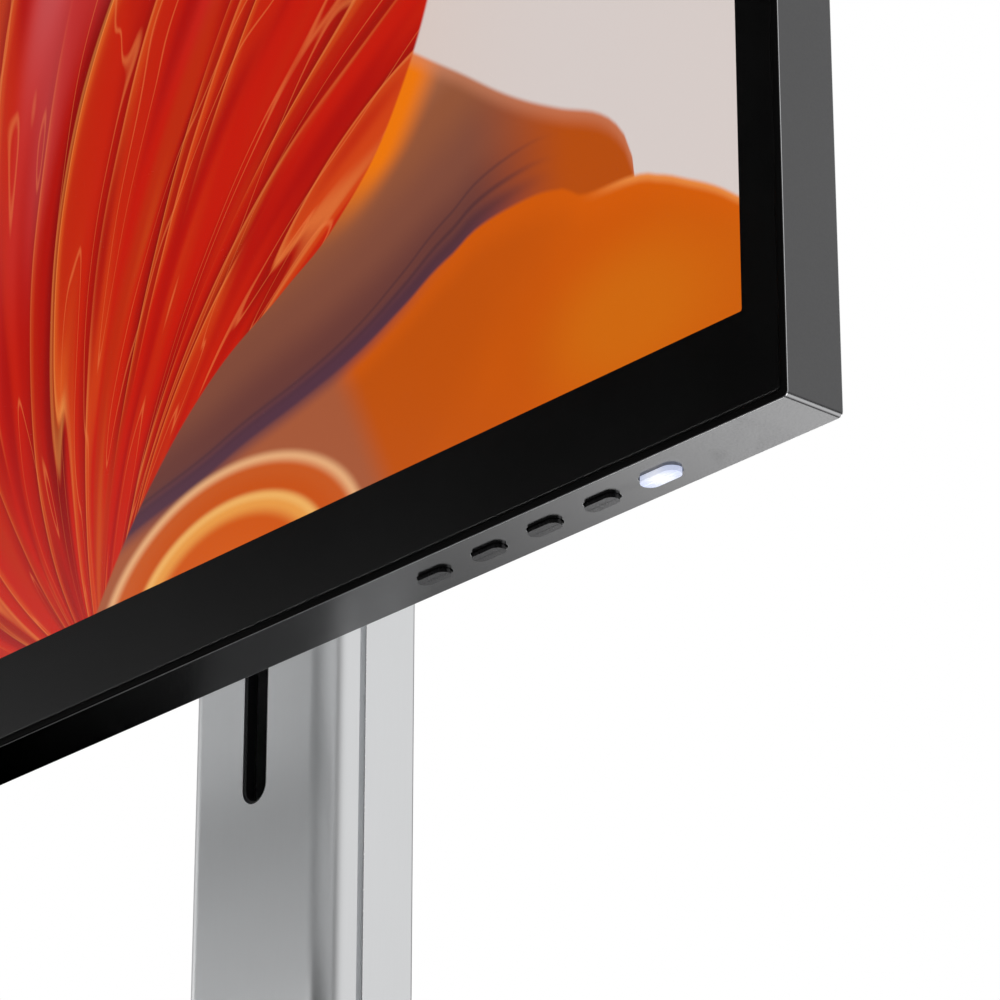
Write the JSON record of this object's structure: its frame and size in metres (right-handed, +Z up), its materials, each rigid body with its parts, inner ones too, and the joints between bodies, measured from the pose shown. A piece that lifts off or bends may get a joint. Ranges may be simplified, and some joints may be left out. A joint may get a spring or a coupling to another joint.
{
  "type": "touchscreen kiosk",
  "caption": "Countertop touchscreen kiosk: flush-glass touch display with push buttons under its edge, tilting on an arm that slides in a slotted aluminium column with a swivelling base.",
  "frame": {"origin": "centre of the base's footprint, on the table under the rubber feet", "axes": "+Z up, screen faces -Y, +X to the right seen from the front, +Y to the back"},
  "size_m": [0.5498, 0.2, 0.4987],
  "materials": {
    "base_steel": "black powder coat",
    "silver": "bead-blasted, clear anodised",
    "silver_rear": "bead-blasted, clear anodised",
    "foot_rubber": "matt",
    "bush_plastic": "natural acetal",
    "steel": "ground",
    "fastener": "black zinc",
    "liner_black": "fine grain",
    "block_grey": "as cast",
    "gas_black": "gloss black",
    "plate_dark": "fine-texture black",
    "friction": "dull",
    "housing_grey": "bead-blasted, dark grey anodised",
    "key_grey": "bead-blasted, dark grey anodised",
    "key_lit": "translucent white, lit",
    "cover_grey": "fine spark texture",
    "front_glass": "polished",
    "gasket_black": "satin",
    "mask_black": "printed black",
    "picture": "lit picture",
    "guide_clear": "clear acrylic and white film",
    "led_yellow": "potted LEDs",
    "pan_steel": "galvanised",
    "board_green": "solder mask",
    "tail_amber": "polyimide",
    "brass": "turned",
    "speaker_black": "moulded",
    "switch_grey": "moulded",
    "inlet_black": "moulded",
    "socket_metal": "tin plated"
  },
  "bodies": {
    "base": {"base_plate": "base_steel", "base_cover": "silver", "rubber_feet": "foot_rubber", "swivel_bush": "bush_plastic", "base_screws": "fastener"},
    "column": {"column_foot": "silver", "swivel_spindle": "steel", "swivel_washer": "fastener", "swivel_nut": "fastener", "column_front": "silver", "column_rear": "silver_rear", "slot_liner": "liner_black", "column_cap": "silver", "top_block": "block_grey", "guide_rods": "steel", "gas_spring_cylinder": "gas_black", "column_screws": "fastener"},
    "carriage": {"carriage_block": "block_grey", "slide_bushes": "bush_plastic", "gas_spring_rod": "steel", "tilt_arm": "block_grey", "arm_screws": "fastener"},
    "display": {"mount_plate": "plate_dark", "tilt_shaft": "steel", "friction_washers": "friction", "tilt_nuts": "fastener", "mount_screws": "fastener", "mount_posts": "steel", "housing_frame": "housing_grey", "rear_cover": "cover_grey", "cover_glass": "front_glass", "glass_gasket": "gasket_black", "border_mask": "mask_black", "lcd_panel": "picture", "light_guide": "guide_clear", "led_strip": "led_yellow", "back_pan": "pan_steel", "touch_board": "board_green", "touch_tail": "tail_amber", "main_board": "board_green", "heat_sink": "steel", "power_board": "board_green", "board_standoffs": "brass", "board_screws": "fastener", "speakers": "speaker_black", "button_board": "board_green", "tact_switches": "switch_grey", "power_led": "key_lit", "power_inlet": "inlet_black", "video_socket": "socket_metal", "usb_sockets": "socket_metal", "network_socket": "socket_metal", "case_screws": "fastener"},
    "menu_key_1": {"menu_button_1": "key_grey"},
    "menu_key_2": {"menu_button_2": "key_grey"},
    "menu_key_3": {"menu_button_3": "key_grey"},
    "menu_key_4": {"menu_button_4": "key_grey"},
    "power_key": {"power_button": "key_lit"}
  },
  "joints": [
    {"name": "swivel", "type": "hinge", "parent": "base", "child": "column", "pos_m": [0, 0.0267, 0.016], "axis": [0, 0, 1], "range_deg": [-45, 45]},
    {"name": "height", "type": "slide", "parent": "column", "child": "carriage", "axis": [0, 0, 1], "range_m": [-0.128, 0.02]},
    {"name": "tilt", "type": "hinge", "parent": "carriage", "child": "display", "pos_m": [0, -0.01685, 0.33435], "axis": [-1, 0, 0], "range_deg": [-5, 20]},
    {"name": "press_menu_1", "type": "slide", "parent": "display", "child": "menu_key_1", "axis": [0, 0, 1], "range_m": [0, 0.0005], "stiffness_N_per_m": 2500},
    {"name": "press_menu_2", "type": "slide", "parent": "display", "child": "menu_key_2", "axis": [0, 0, 1], "range_m": [0, 0.0005], "stiffness_N_per_m": 2500},
    {"name": "press_menu_3", "type": "slide", "parent": "display", "child": "menu_key_3", "axis": [0, 0, 1], "range_m": [0, 0.0005], "stiffness_N_per_m": 2500},
    {"name": "press_menu_4", "type": "slide", "parent": "display", "child": "menu_key_4", "axis": [0, 0, 1], "range_m": [0, 0.0005], "stiffness_N_per_m": 2500},
    {"name": "press_power", "type": "slide", "parent": "display", "child": "power_key", "axis": [0, 0, 1], "range_m": [0, 0.0005], "stiffness_N_per_m": 2500}
  ]
}
